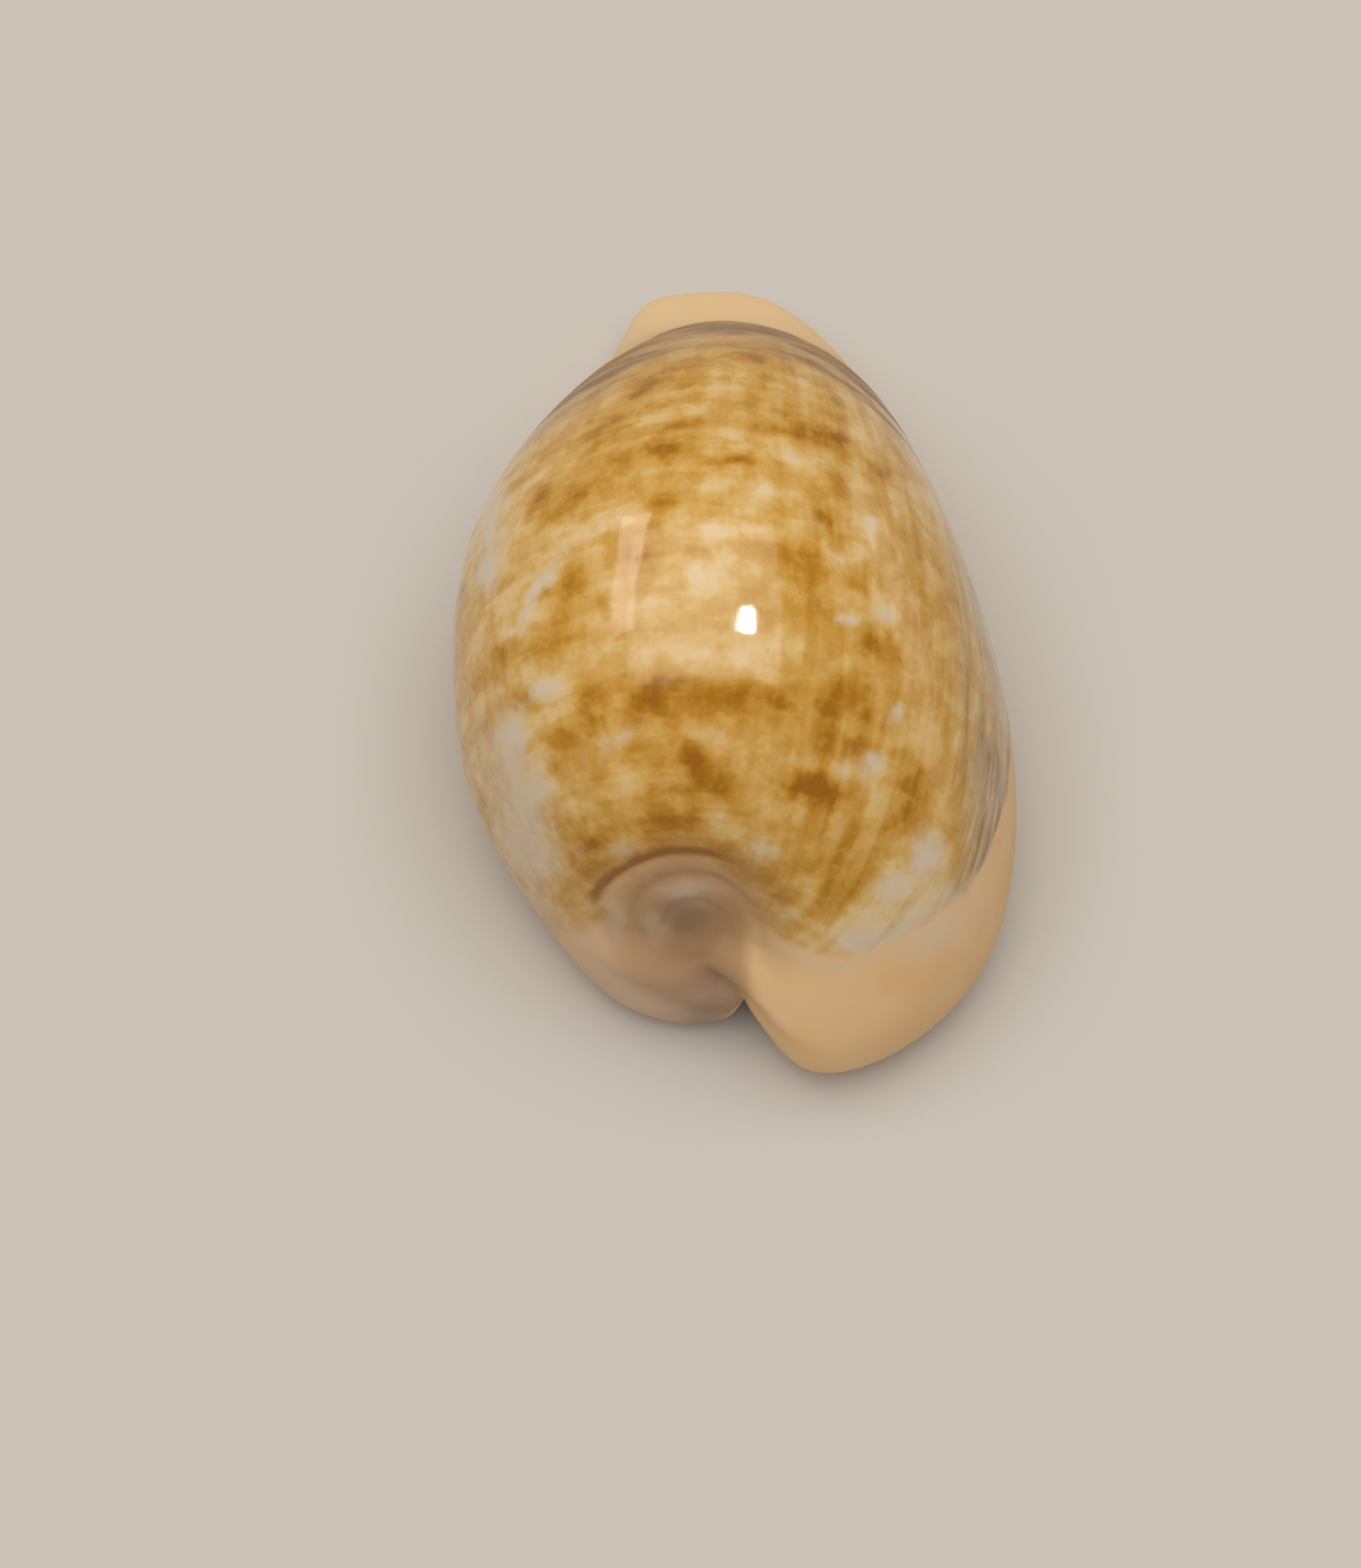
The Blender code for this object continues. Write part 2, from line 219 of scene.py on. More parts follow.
# %% The pit's own coordinates
def pit_place(points):
    """A point's distance from the pit's centre, its height, and its place between two turns of the seam."""
    right = (points[:, 0] - PIT_CENTRE[0]) / PIT_RADIUS[0]
    up = (points[:, 2] - PIT_CENTRE[1]) / PIT_RADIUS[1]
    radius = np.hypot(right, up)
    seam = radius * SPIRE_TURNS + np.arctan2(up, right) / (2 * np.pi)
    return radius, up, seam


# %% The relief of the rear end
def rear_relief(points):
    """How far the rear of the outside sinks in at each point; below 0 it stands out."""
    x, y, z = points.T
    radius, up, seam = pit_place(points)
    open_below = ramp(-0.65, -0.1, up)
    pit = PIT_DEPTH * np.exp(-(radius**4)) * open_below
    line = (0.5 + 0.5 * np.cos(2 * np.pi * seam)) ** 3 * ramp(1.1, 0.8, radius) * ramp(0, 0.3, radius)
    pit += SPIRE_STEP * line * open_below
    offset = x - spline_at(z, VALLEY_HEIGHTS, VALLEY_X)
    side = np.where(offset < 0, VALLEY_INNER_SIDE, spline_at(z, VALLEY_HEIGHTS, VALLEY_OUTER_SIDE))
    valley = spline_at(z, VALLEY_HEIGHTS, VALLEY_DEPTH) * np.exp(-((offset / side) ** 2)) * ramp(8, 12, z)
    ridge = OUTER_RIDGE * np.exp(-(((offset - 4.2) / 2.8) ** 2)) * ramp(9, 14, z) * ramp(24, 16, z)
    return (pit + valley - ridge) * ramp(-30, -36, y)

# %% [markdown]
# ## One skin, outside and inside
#
# Picture a rubber band laid round the shell at one place along it. It starts at the right lip, goes over
# the back to the left lip, turns in, goes round the hollow and comes out again. `s` says how far along
# that band a point is, and `t` says which band. Most of the band's points are kept for the outside, which
# is what one sees.

# %% How a band is shared out
OUTSIDE_SHARE = 0.72
ROUNDING_SHARE = 0.035
WALL_SHARE = 0.02


# %% What a band needs to know at each place along the shell
class Section:
    """What a line round the shell needs to know at each place along it."""

    def __init__(self, t):
        self.t = t
        span = spline(RIGHT_MARGIN, t)[:, 0] - spline(LEFT_MARGIN, t)[:, 0]
        self.half_span = span / 2 + 1e-6
        self.gap = soft_min(spline(APERTURE_HALF_WIDTH, t), 0.5 * self.half_span)
        self.rounding = soft_min(LIP_RADIUS, 0.3 * self.half_span)
        inward = spline(APERTURE_ROOF, t) - spline(BASE_LINE, t)
        self.depth = np.linalg.norm(inward, axis=1) + 1e-9
        self.inward = inward / self.depth[:, None]
        self.teeth = ramp(0.05, 0.15, t) * ramp(0.985, 0.9, t) * TOOTH_DEPTH

    def wall(self, side, turn, up):
        """A point of a lip or wall: turn from 0 to a right angle round the lip, then up from 0 to 1."""
        distance = self.gap + self.rounding * (1 - np.sin(turn))
        across = np.clip(side * distance / self.half_span, -0.97, 0.97)
        points = outer_form(self.t, across, np.zeros_like(self.t, bool))
        rounding = np.minimum(self.rounding, self.depth)
        climb = rounding * (1 - np.cos(turn)) + np.maximum(self.depth - self.rounding, 0) * up
        points = points + self.inward * climb[:, None]
        points[:, 0] += side * up * WALL_LEAN * np.minimum(1, self.half_span / 10)
        return points, distance

    def hollow(self, v):
        """The hollow's surface: v from 0 at the top of the right wall to 1 at the top of the left one."""
        one = np.ones_like(self.t)
        right_wall, _ = self.wall(one, one * np.pi / 2, one)
        left_wall, _ = self.wall(-one, one * np.pi / 2, one)
        little = np.minimum(1, self.half_span / 8)
        roof = spline(APERTURE_ROOF, self.t)[:, 2]
        height = np.maximum(spline(HOLLOW_TOP, self.t) - roof, 0.7 * little)[:, None] * np.array([0, 0, 1])
        far_right = right_wall.copy()
        far_right[:, 0] = np.maximum(spline(HOLLOW_RIGHT, self.t), right_wall[:, 0] + 0.5 * little)
        far_left = left_wall.copy()
        far_left[:, 0] = np.minimum(spline(HOLLOW_LEFT, self.t), left_wall[:, 0] - 0.5 * little)
        whorl = mix(0.05, 1, ramp(0.17, 0.27, self.t) * ramp(0.86, 0.7, self.t))[:, None]
        ring = [right_wall]
        ring += [mix(right_wall, far_right, out) + up * height for out, up in RIGHT_FLOOR]
        ring += [mix(far_left, far_right, (1 + out) / 2) + up * height for out, up in ARCH]
        ring += [mix(left_wall, far_left, out) + up * height for out, up in LEFT_FLOOR]
        ring += [mix(left_wall, far_left, out) + up * height * whorl for out, up in INNER_WHORL]
        ring += [left_wall]
        return spline_of_rows(np.array(ring), v)


# %% The whole surface
def surface(t, s):
    """The shell's whole skin: t from rear notch to front notch, s once round from the right lip."""
    section = Section(t)
    lip_angle = np.arccos(np.clip((section.gap + section.rounding) / section.half_span, 0, 0.95))
    angle = mix(-lip_angle, np.pi + lip_angle, np.clip(s / OUTSIDE_SHARE, 0, 1))
    lower = np.sin(angle) < 0
    outside = outer_form(t, np.cos(angle), ~lower)
    sink = rear_relief(outside) * ~lower * ramp(0.01, 0.08, t)
    outside = outside + sink[:, None] * np.array([0, 0.95, -0.3])

    on_outside = s <= OUTSIDE_SHARE
    past_left = s - OUTSIDE_SHARE
    on_left = np.where(on_outside, np.cos(angle) < 0, past_left < (1 - OUTSIDE_SHARE) / 2)
    side = np.where(on_left, -1.0, 1.0)
    past_lip = np.where(on_left, past_left, 1 - s)
    turn = np.clip(past_lip / ROUNDING_SHARE, 0, 1) * np.pi / 2
    up = np.clip((past_lip - ROUNDING_SHARE) / WALL_SHARE, 0, 1)
    wall, wall_distance = section.wall(side, turn, up)
    skin = np.where(on_outside[:, None], outside, wall)

    distance = np.where(on_outside, np.abs(np.cos(angle)) * section.half_span, wall_distance)
    reach = np.minimum(np.where(on_left, TOOTH_REACH["left"], TOOTH_REACH["right"]), 0.4 * section.half_span)
    lip_edge = section.gap + section.rounding
    on_base = ramp(lip_edge + reach, section.gap + section.rounding / 2, distance) * lower
    phase = (skin[:, 1] + ~on_left * TOOTH_STAGGER) / TOOTH_PITCH
    groove = (0.5 - 0.5 * np.cos(2 * np.pi * phase)) * section.teeth * np.where(on_outside, on_base, 1 - up)
    turned = np.where(on_outside, 0, turn)
    skin[:, 0] += side * groove * np.sin(turned)
    skin += section.inward * (groove * np.cos(turned))[:, None]

    edge = ROUNDING_SHARE + WALL_SHARE
    in_hollow = (s > OUTSIDE_SHARE + edge) & (s < 1 - edge)
    v = (1 - edge - s) / (1 - 2 * edge - OUTSIDE_SHARE)
    skin = np.where(in_hollow[:, None], section.hollow(v), skin)
    skin[:, 2] = np.maximum(skin[:, 2], 0)
    return skin

# %% [markdown]
# ## From a ball to a shell
#
# The skin has the same connections as a ball whose poles are the two notches. So we take Blender's UV
# sphere, read each vertex's place on it as `t` and `s`, and move it to the shell's surface. The mesh is
# closed from the start.

# %% Mesh the skin and fit it in its box
STEPS_ALONG = 440
STEPS_ROUND = 220

ball = bmesh.new()
bmesh.ops.create_uvsphere(ball, u_segments=STEPS_ROUND, v_segments=STEPS_ALONG, radius=1)
on_ball = np.array([vertex.co[:] for vertex in ball.verts])
t = 1 - np.arccos(np.clip(on_ball[:, 2], -1, 1)) / np.pi
s = (np.arctan2(on_ball[:, 1], on_ball[:, 0]) / (2 * np.pi)) % 1
skin = surface(t, s)
skin_low, skin_high = skin.min(axis=0), skin.max(axis=0)
middle = np.array([(skin_low[0] + skin_high[0]) / 2, (skin_low[1] + skin_high[1]) / 2, skin_low[2]])
unit = box_size[1] / (skin_high[1] - skin_low[1])
seat = np.array([(box_low[0] + box_high[0]) / 2, (box_low[1] + box_high[1]) / 2, box_low[2]])
for vertex, place in zip(ball.verts, (skin - middle) * unit + seat):
    vertex.co = place
bmesh.ops.recalc_face_normals(ball, faces=ball.faces)

mesh = bpy.data.meshes.new("shell_skin")
ball.to_mesh(mesh)
ball.free()
mesh.shade_smooth()
shell = bpy.data.objects.new("shell_skin", mesh)
bpy.context.scene.collection.objects.link(shell)
print(len(mesh.polygons), "faces; a hundredth of the length is", round(unit * 1000, 3), "mm")

# %% [markdown]
# ## Where the glaze lies
#
# The pattern covers the back only. It ends on the right at the callus of the outer lip, in front at the
# rim, and behind at the pit and the lobes. A shader can't know any of this, so we measure it here and
# hand it over as numbers stored on the vertices: `glaze` is how far a vertex lies inside the patterned
# back, and falls below 0 outside it.

# %% The border of the patterned back
ROUND_PLACES = [
    0.2, 0.235, 0.25, 0.265, 0.285, 0.3, 0.31, 0.35, 0.405, 0.44, 0.47, 0.5, 0.55, 0.6, 0.65, 0.7, 0.79,
    0.84, 0.87, 0.89, 0.92,
]
GLAZE_STARTS = [
    0.8, 0.6, 0.56, 0.51, 0.44, 0.39, 0.34, 0.248, 0.203, 0.206, 0.25, 0.262, 0.265, 0.262, 0.235, 0.25,
    0.285, 0.33, 0.42, 0.55, 0.8,
]
GLAZE_ENDS_AT = [0.2, 0.235, 0.25, 0.3, 0.36, 0.42, 0.5, 0.55, 0.6, 0.65, 0.7, 0.79, 0.84, 0.87, 0.89, 0.92]
GLAZE_ENDS = [0.4, 0.58, 0.66, 0.69, 0.66, 0.665, 0.69, 0.68, 0.65, 0.655, 0.67, 0.7, 0.68, 0.64, 0.55, 0.4]

FAR_FROM_GLAZE = -20

round_back = np.clip(s / OUTSIDE_SHARE, 0, 1)
behind_start = t - np.interp(round_back, ROUND_PLACES, GLAZE_STARTS)
before_end = np.interp(round_back, GLAZE_ENDS_AT, GLAZE_ENDS) - t
glaze = 100 * np.minimum(behind_start, before_end)
glaze = np.where(s <= OUTSIDE_SHARE, glaze, FAR_FROM_GLAZE)
on_back = ramp(-3, 1, glaze)
print("patterned share of the vertices:", round(float((glaze > 0).mean()), 2))

# %% [markdown]
# ## Marks laid down one by one
#
# Noise alone makes every shell look like any other. The larger blotches of this one are placed one by
# one, as seen from above and a little behind, the way it lies in the hand: x across, w up the view, half
# length, half width, the angle it is turned by, and its strength. A negative strength lightens. Noise
# bends their outlines, and the shader adds the fine structure later. Unless it is given a seed, Blender's
# noise vector takes one from the clock, and every run would make another shell, so we set it.

# %% Brown blotches
SEEN_FROM = math.radians(66)  # above the base

BROWN_MARKS = [
    (-7, 31.5, 2.5, 0.8, 15, 0.6), (-9.5, 29, 2.7, 0.7, 20, 0.7), (-3.5, 25.5, 2, 0.8, 5, 0.8),
    (-6, 22, 2.2, 1.4, 0, 0.7), (0.5, 21, 3.5, 0.7, 3, 0.95), (-13, 24.5, 2.4, 1.7, 10, 0.6),
    (-19.5, 22.5, 1.4, 0.5, 50, 0.5), (-20, 17, 1.7, 1, 50, 0.8), (-16, 17.5, 2.5, 1.2, 40, 0.6),
    (-8.5, 10.5, 1.4, 1.2, 0, 0.85), (-3.5, 11, 0.8, 0.8, 0, 0.4), (-16.5, 7, 2.7, 2, 30, 0.65),
    (-24, 8.5, 3, 0.8, 25, 0.55), (-7.5, 16.5, 2, 1.5, 0, 0.5), (-6.5, 19, 0.7, 1.9, 0, 0.4),
    (0.5, 35.5, 3.4, 0.8, 3, 0.7), (3, 33, 2.9, 1.2, 0, 0.7), (4, 30.5, 0.7, 1.5, 0, 0.5),
    (6.5, 24.5, 3.7, 0.9, -5, 0.8), (10.5, 24, 1.9, 0.8, -15, 0.75), (10.5, 28, 1.7, 1.4, -20, 0.55),
    (10.5, 19.5, 1, 1, 0, 0.4), (16, 20.5, 1.4, 1.2, -20, 0.7), (10, 15, 2.9, 0.9, -55, 0.85),
    (7.5, 9, 2.5, 2.7, 0, 0.75), (12.5, 8, 1.3, 1.2, 0, 0.7), (14, 2, 1.4, 1.4, 0, 0.75),
    (16.5, 1, 1.3, 1.4, 0, 0.7), (17, 12.5, 0.8, 2.9, 0, 0.45), (19.5, 2.5, 0.8, 2.5, 0, 0.45),
    (-23.5, 0.5, 0.8, 1.4, 0, 0.7), (-17.5, 1.5, 3.5, 1.5, 10, 0.7), (-21.5, -4, 1.4, 1.2, 0, 0.55),
    (-25, -5, 0.5, 1.7, 0, 0.7), (-8, -3.5, 2, 1.9, -35, 0.9), (-1.5, -3.5, 4.4, 1.7, 0, 0.75),
    (-14, -3.5, 1.4, 0.7, 0, 0.55), (-14, -6, 2, 0.7, -55, 0.5), (-4, 1.5, 0.9, 0.8, 0, 0.4),
    (-17.5, -9, 1, 2.4, -10, 0.55), (-3, -11, 3.4, 1.1, -50, 0.95), (-12.5, -12.5, 1.5, 1.2, 0, 0.5),
    (-5.5, -16, 3, 1.3, 0, 0.6), (-15.5, -18.5, 2.4, 2, 0, 0.45), (-25, -16.5, 0.5, 2.7, -10, 0.5),
    (-20, -22.5, 2.5, 0.5, -20, 0.4), (6, -3, 4.6, 1.5, 0, 0.85), (4.5, -6, 1, 1.5, 0, 0.6),
    (9, -7, 1.4, 2.9, 0, 0.75), (14, -5.5, 0.5, 2.9, 0, 0.6), (13.5, -9, 0.9, 0.9, 0, 0.75),
    (17, -9, 1, 0.9, 0, 0.7), (21, -2, 0.7, 3, -5, 0.75), (8.5, -13, 2.4, 1.4, -10, 1.1),
    (19, -12, 1.5, 1.9, 30, 0.6), (17.5, -16.5, 2.9, 2.2, 45, 0.6), (12.5, -22.5, 3.9, 1.4, 50, 0.55),
    (17.5, -25, 2.2, 0.7, 30, 0.55), (24, -19, 1, 2.5, 10, 0.4), (27.5, -10, 0.7, 3.5, -5, 0.5),
    (29, -18.5, 0.4, 2.5, 10, 0.4), (2.5, 17.5, 3.4, 1.5, 0, -0.35), (1.5, 15, 2.5, 1.7, 0, -0.3),
    (7, 21.5, 2.9, 0.8, 0, -0.35), (-3, 13, 1.9, 1, 0, -0.3), (4, 0.5, 3.2, 1, 0, -0.4),
    (-9, 24, 1.2, 1.2, 0, -0.3),
]

# %% Wide zones of more or less brown, under the blotches
WIDE_ZONES = [
    (-12, 28, 9, 5, 20, 0.12), (4, 32, 9, 4, 0, -0.06), (8, 24, 8, 4, -10, 0.2), (-6, 22, 7, 3, 0, 0.15),
    (-17, 20, 6, 5, 40, 0.15), (9, 10, 5, 6, 0, 0.2), (-18, 5, 6, 4, 30, 0.15), (14, -4, 7, 6, 0, 0.15),
    (0, -5, 12, 3, 0, 0.15), (-6, -14, 12, 5, 0, 0.15), (12, -17, 8, 6, 30, 0.2),
    (-8, -21, 14, 4, 0, 0.2), (-2, 4, 9, 5, 0, -0.15), (2, 14, 6, 3, 0, -0.12), (-23, 13, 3, 7, 0, -0.25),
    (-22, -13, 4, 9, 0, -0.05), (0, -9.5, 14, 3.5, 0, 0.14), (20, -27, 6, 3, 30, -0.3),
    # The two zones on the next line lay a brown line down the left edge: partly the pattern, partly painted
    # shade where the side turns away.
    (-29.6, 4, 0.9, 12, 0, 0.6), (-27, -14, 0.9, 8, 14, 0.5),
]

# %% Milky patches, where the last layers of glaze lie thick over the brown
MILKY_MARKS = [
    (-25.5, 16, 1.6, 5, 5, 0.8), (-25.5, 9.5, 1.2, 2, 0, 0.8), (-24, -9, 3, 6, 5, 0.45),
    (-21, -17, 4, 5, -20, 0.4), (-20, -21, 4, 3, -30, 0.4), (-19.5, 7, 4.4, 0.8, 56, 0.8),
    (-19, -3, 1.4, 1.2, 0, 0.9), (-22.5, -8, 1.4, 2.2, 0, 0.6), (-20, -13.5, 1.7, 2.4, -35, 0.5),
    (-11, -8, 2.9, 1.2, 20, 0.4), (14.5, 14.5, 0.8, 1.1, 0, 0.7), (8.5, 14.5, 0.7, 0.8, 0, 0.6),
    (11.5, 11, 1, 0.8, 0, 0.5), (12, 4.5, 1.3, 0.9, 0, 0.7), (16, 5, 1.2, 0.8, 0, 0.7),
    (17, -5, 0.9, 1.2, 0, 0.7), (15, -10.5, 1.2, 1.4, 0, 0.7), (11.5, -11, 1, 1, 0, 0.45),
    (21, -19.5, 1.6, 2.5, -10, 0.9), (17.5, -23.3, 2, 2.3, 20, 0.7), (20, -28, 2.6, 1.8, 20, 0.85),
    (24, -24.7, 1.5, 2.5, 25, 0.7), (14.5, -28.7, 3.5, 1.4, 5, 0.8), (3.5, -19.5, 1.9, 1.4, 0, 0.5),
    (-2, -7.5, 1.4, 1, 0, 0.4), (-1, -16, 0.8, 1.2, 0, 0.4), (-11, -19.5, 1.2, 1, -20, 0.5),
]


# %% One rule for all marks
def laid(marks, x, w):
    """The marks' strength at each vertex, added up."""
    total = np.zeros_like(x)
    for centre_x, centre_w, half_length, half_width, turned, strength in marks:
        angle = math.radians(turned)
        dx, dw = x - centre_x, w - centre_w
        along = (dx * math.cos(angle) + dw * math.sin(angle)) / half_length
        aside = (dw * math.cos(angle) - dx * math.sin(angle)) / half_width
        total += strength * np.exp(-0.8 * (along**2 + aside**2))
    return total


# %% Let their outlines sway, and lay them on the skin
SLOW_SWAY = (0.25, 0.9)  # how quickly it changes along the shell, and how far it goes
QUICK_SWAY = (0.7, 0.5)
SWAY_SEED = 12


def swayed(point):
    """How far the outlines of the marks sway at one point."""
    return sum((noise.noise_vector(point * rate) * size for rate, size in (SLOW_SWAY, QUICK_SWAY)), Vector())


noise.seed_set(SWAY_SEED)
bend = np.array([swayed(Vector(point)) for point in skin])
view_w = skin[:, 1] * math.sin(SEEN_FROM) + skin[:, 2] * math.cos(SEEN_FROM)
seen_x = skin[:, 0] + bend[:, 0]
seen_w = view_w + bend[:, 1]
brown = (laid(BROWN_MARKS, seen_x, seen_w) + laid(WIDE_ZONES, seen_x, seen_w)) * on_back
milky = laid(MILKY_MARKS, seen_x, seen_w) * on_back
print("strongest brown", round(float(brown.max()), 2), "strongest milk", round(float(milky.max()), 2))

# %% [markdown]
# ## The spire's colours
#
# Inside the pit the older whorls show as soft rings: a brown arc along the pit's upper rim, a paler turn
# inside it, and a grey-violet middle, which is painted shade where the light hardly reaches, with some of
# the thin shell's own grey. The whole pit also takes a darker rose, partly its own tone and partly painted
# shade of the hollow.

# %% Rings in the pit
pit_radius, pit_up, _ = pit_place(skin)
skin_x, skin_y, skin_z = skin.T
at_rear = ramp(-28, -34, skin_y) * (s <= OUTSIDE_SHARE)
above_base = ramp(4, 9, skin_z)


def hill(value, middle, half_width, power=2):
    """1 at the middle and falling off on both sides; a higher power gives a flatter top."""
    return np.exp(-(((value - middle) / half_width) ** power))


upper_half = ramp(-0.1, 0.45, pit_up)
rim_arc = hill(pit_radius, 0.95, 0.06) * ramp(6, -6, skin_x) + 0.4 * hill(pit_radius, 1.08, 0.2)
inner_arcs = 0.35 * hill(pit_radius, 0.66, 0.06) + 0.4 * hill(pit_radius, 0.36, 0.06)
ring = (rim_arc + inner_arcs) * upper_half * at_rear
# the whole pit, which takes a darker rose: partly its own tone, partly painted shade
in_pit = hill(pit_radius, 0, 0.93, 6) * at_rear
print("ring vertices:", int((ring > 0.3).sum()))

# %% [markdown]
# ## Painted shade and light on the lobes
#
# The middle of the pit, the notch and the side of the left lobe that turns to the notch get painted shade,
# a grey laid into their colour. The ridge across from it gets painted light, a paler cream. A thin line
# along the pattern's lower edge is paler too, where the glaze thins out over the callus.

# %% Masks of the lobes
# LEFT_OF_NOTCH places painted shade on the side of the left lobe that turns to the notch; RIGHT_OF_NOTCH
# places painted light on the ridge across from it.
LEFT_OF_NOTCH = [(-1, -36.8, 4.2, 3, 25, 1)]
RIGHT_OF_NOTCH = [(4, -31.8, 4.5, 2.6, -50, 1)]
PALE_IN_PIT = [(-4.2, -23.4, 2.6, 1.1, 0, 1), (-12, -26, 1, 2.6, 8, 0.8), (-7.5, -27.5, 0.9, 1.4, 20, 0.5)]
PALE_END_OF_LINE = [(21.5, -28.3, 4, 1.5, 30, 0.9)]

lobe = hill(skin_x, -7, 11, 4) * hill(skin_z, 8, 11, 4) * at_rear * ramp(2.5, 0.5, skin_x)
# painted shade at the notch
notch = 0.6 * hill(skin_x, 1, 3) * hill(skin_z, 7, 6) * ramp(2, 0, skin_x) * at_rear
shaded_lobe = laid(LEFT_OF_NOTCH, seen_x, seen_w) * at_rear * ramp(3.2, 2.2, skin_x)
# painted shade: the pit's middle (partly also the thin shell's own grey), the notch and the lobe's side
painted_shade = np.maximum.reduce([hill(pit_radius, 0, 0.34) * at_rear, notch, shaded_lobe])
# painted light on the ridge right of the notch
lit_ridge = laid(RIGHT_OF_NOTCH, seen_x, seen_w) * at_rear * above_base * ramp(1, 3.5, skin_x)
pale_line = 0.6 * hill(glaze, -1.3, 1.1) * ramp(4, 10, skin_x) * at_rear
pale_edge = laid(PALE_END_OF_LINE, seen_x, seen_w) * at_rear * above_base
pale = np.maximum(laid(PALE_IN_PIT, seen_x, seen_w) * in_pit + pale_line, pale_edge)
print("shaded vertices:", int((painted_shade > 0.3).sum()))

# %% Store everything on the vertices
def store(name, values):
    """Keeps one number, or three, for each vertex under a name that a material can read."""
    vector = values.ndim == 2
    attribute = mesh.attributes.new(name, "FLOAT_VECTOR" if vector else "FLOAT", "POINT")
    attribute.data.foreach_set("vector" if vector else "value", values.astype(np.float32).ravel())


past_lip = np.where(s <= OUTSIDE_SHARE, 0, np.minimum(s - OUTSIDE_SHARE, 1 - s))
FLOW_ROUND = 110  # hundredths of the length from lip to lip over the back
FLOW_ALONG = 100
store("place", skin)
store("flow", np.stack([round_back * FLOW_ROUND, t * FLOW_ALONG, np.zeros_like(t)], axis=1))
store("glaze", glaze)
store("brown", brown)
store("milky", milky)
store("to_right", ramp(-2, 12, skin_x))
store("frontness", ramp(0.32, 0.5, t))
store("front_slope", ramp(0.5, 0.6, t))
store("front_rim", ramp(0.72, 0.8, t))
store("flank", ramp(22, 28, skin_x) * ramp(0.16, 0.3, t) * on_back)
store("ring", ring)
# the pit's rose, partly painted shade
store("pit_rose_and_shade", in_pit)
store("lobe", lobe)
# painted shade of the pit's middle, the notch and the left lobe's side
store("painted_shade", painted_shade)
store("pit_near", hill(pit_radius, 0, 1.5, 4) * at_rear)
store("pale", pale)
# painted light on the ridge beside the notch
store("lit_ridge", lit_ridge)
store("inward", np.clip(past_lip / (ROUNDING_SHARE + WALL_SHARE), 0, 1))

# %% [markdown]
# ## A few words for wiring shaders
#
# A shader graph in code is easy to lose one's way in. These short helpers each add one node and hand back
# its output, so a recipe reads from top to bottom like arithmetic.

# %% Node helpers
NODE_GAP = (190, 130)  # between nodes in the shader editor
NODE_ROWS = 5


class Recipe:
    """Adds nodes to one tree; each call returns the output socket that the next one takes."""

    def __init__(self, tree):
        self.tree = tree
        self.column = 0

    def node(self, kind, **settings):
        node = self.tree.nodes.new(kind)
        node.location = (self.column * NODE_GAP[0], -(self.column % NODE_ROWS) * NODE_GAP[1])
        self.column += 1
        for name, value in settings.items():
            setattr(node, name, value)
        return node

    def feed(self, socket, value):
        """Connects an output, or sets a plain number or colour."""
        if isinstance(value, bpy.types.NodeSocket):
            self.tree.links.new(value, socket)
        elif hasattr(socket.default_value, "__len__") and len(socket.default_value) == 4 and len(value) == 3:
            socket.default_value = (*value, 1)
        else:
            socket.default_value = value

    def stored(self, name, what="Fac"):
        return self.node("ShaderNodeAttribute", attribute_name=name).outputs[what]

    def maths(self, operation, *values):
        node = self.node("ShaderNodeMath", operation=operation)
        for socket, value in zip(node.inputs, values):
            self.feed(socket, value)
        return node.outputs[0]

    def between(self, value, low, high, start=0.0, end=1.0):
        """A smooth step from start to end as the value goes from low to high."""
        node = self.node("ShaderNodeMapRange", interpolation_type="SMOOTHSTEP")
        for socket, amount in zip(node.inputs, (value, low, high, start, end)):
            self.feed(socket, amount)
        return node.outputs[0]

    def mixed(self, share, under, over):
        node = self.node("ShaderNodeMix", data_type="RGBA")
        for name, value in (("Factor_Float", share), ("A_Color", under), ("B_Color", over)):
            self.feed(next(socket for socket in node.inputs if socket.identifier == name), value)
        return next(socket for socket in node.outputs if socket.identifier == "Result_Color")

    def ramp(self, value, stops):
        """A run of colours, each given with the value at which it stands."""
        node = self.node("ShaderNodeValToRGB")
        elements = node.color_ramp.elements
        while len(elements) < len(stops):
            elements.new(1)
        for element, (position, colour) in zip(elements, stops):
            element.position = position
            element.color = (*colour, 1)
        self.feed(node.inputs["Fac"], value)
        return node.outputs["Color"]

    def cloud(self, vector, scale, detail, roughness=0.5):
        node = self.node("ShaderNodeTexNoise")
        for name, value in (
            ("Vector", vector), ("Scale", scale), ("Detail", detail), ("Roughness", roughness),
        ):
            self.feed(node.inputs[name], value)
        return node.outputs["Fac"]

    def stretched(self, vector, scale, shift=(0, 0, 0)):
        node = self.node("ShaderNodeMapping")
        for name, value in (("Vector", vector), ("Scale", scale), ("Location", shift)):
            self.feed(node.inputs[name], value)
        return node.outputs[0]

    def use(self, group, **inputs):
        node = self.node("ShaderNodeGroup", node_tree=group)
        for name, value in inputs.items():
            self.feed(node.inputs[name], value)
        return node.outputs


